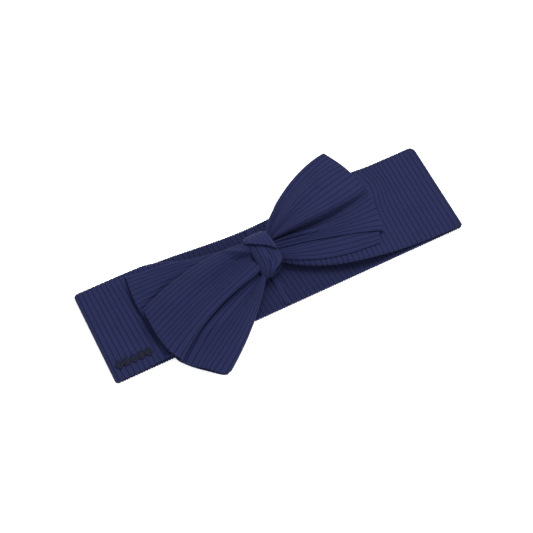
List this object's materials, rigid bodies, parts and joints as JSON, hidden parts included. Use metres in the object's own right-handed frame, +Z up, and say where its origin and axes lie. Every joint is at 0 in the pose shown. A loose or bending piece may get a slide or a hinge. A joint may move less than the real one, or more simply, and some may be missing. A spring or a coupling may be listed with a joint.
{
  "type": "bow headband",
  "caption": "Stretch rib-knit headband closed in a loop and lying flat, gathered at the middle under a wrapped knot with four doubled bow wings.",
  "frame": {"origin": "middle of the underside of the back half, where the band lies on a surface", "axes": "+X along the flat band towards the end that lies to the right of the knot, +Y to the band's upper edge, +Z up through the knot"},
  "size_m": [0.2, 0.089, 0.0174],
  "materials": {
    "rib_knit": "navy cotton rib jersey, matt with a faint sheen along the ribs",
    "rib_knit_inside": "the same rib jersey in shade, face of the doubled strip that is turned inward",
    "seam_thread": "navy overlocked seam allowance and polyester thread",
    "raised_print": "raised rubbery transfer print, dark navy, satin"
  },
  "bodies": {
    "band": {"back_outer_ply": "rib_knit", "back_inner_ply": "rib_knit_inside", "back_seam": "seam_thread"},
    "left_front": {"left_front_outer_ply": "rib_knit", "left_front_inner_ply": "rib_knit_inside", "corner_motif": "raised_print"},
    "right_front": {"right_front_outer_ply": "rib_knit", "right_front_inner_ply": "rib_knit_inside"},
    "bow": {"gathered_core": "rib_knit_inside", "knot_wrap": "rib_knit", "knot_flap": "rib_knit"},
    "left_back_wing": {"left_back_wing_under_ply": "rib_knit", "left_back_wing_top_ply": "rib_knit", "left_back_wing_end_seam": "seam_thread"},
    "left_front_wing": {"left_front_wing_under_ply": "rib_knit", "left_front_wing_top_ply": "rib_knit", "left_front_wing_end_seam": "seam_thread"},
    "right_back_wing": {"right_back_wing_under_ply": "rib_knit", "right_back_wing_top_ply": "rib_knit", "right_back_wing_end_seam": "seam_thread"},
    "right_front_wing": {"right_front_wing_under_ply": "rib_knit", "right_front_wing_top_ply": "rib_knit", "right_front_wing_end_seam": "seam_thread"}
  },
  "joints": [
    {"name": "loop_open", "type": "slide", "parent": "band", "child": "bow", "axis": [0, 0, 1], "range_m": [0, 0.022]},
    {"name": "left_fold", "type": "hinge", "parent": "band", "child": "left_front", "pos_m": [-0.0975, 0, 0.0044], "axis": [0, -1, 0], "range_deg": [0, 15]},
    {"name": "right_fold", "type": "hinge", "parent": "band", "child": "right_front", "pos_m": [0.0975, 0, 0.0044], "axis": [0, 1, 0], "range_deg": [0, 15]},
    {"name": "left_back_wing_lift", "type": "hinge", "parent": "bow", "child": "left_back_wing", "pos_m": [-0.0098, 0, 0.0146], "axis": [0, 1, 0], "range_deg": [0, 40]},
    {"name": "left_front_wing_lift", "type": "hinge", "parent": "left_back_wing", "child": "left_front_wing", "pos_m": [-0.0098, 0, 0.0146], "axis": [0, 1, 0], "range_deg": [0, 40]},
    {"name": "right_back_wing_lift", "type": "hinge", "parent": "bow", "child": "right_back_wing", "pos_m": [0.0038, 0, 0.0146], "axis": [0, -1, 0], "range_deg": [0, 40]},
    {"name": "right_front_wing_lift", "type": "hinge", "parent": "right_back_wing", "child": "right_front_wing", "pos_m": [0.0038, 0, 0.0146], "axis": [0, -1, 0], "range_deg": [0, 40]}
  ],
  "couplings": [
    {"joint": "left_fold", "follows": "loop_open", "rad_per_m": 11.3},
    {"joint": "right_fold", "follows": "loop_open", "rad_per_m": 10.6}
  ]
}
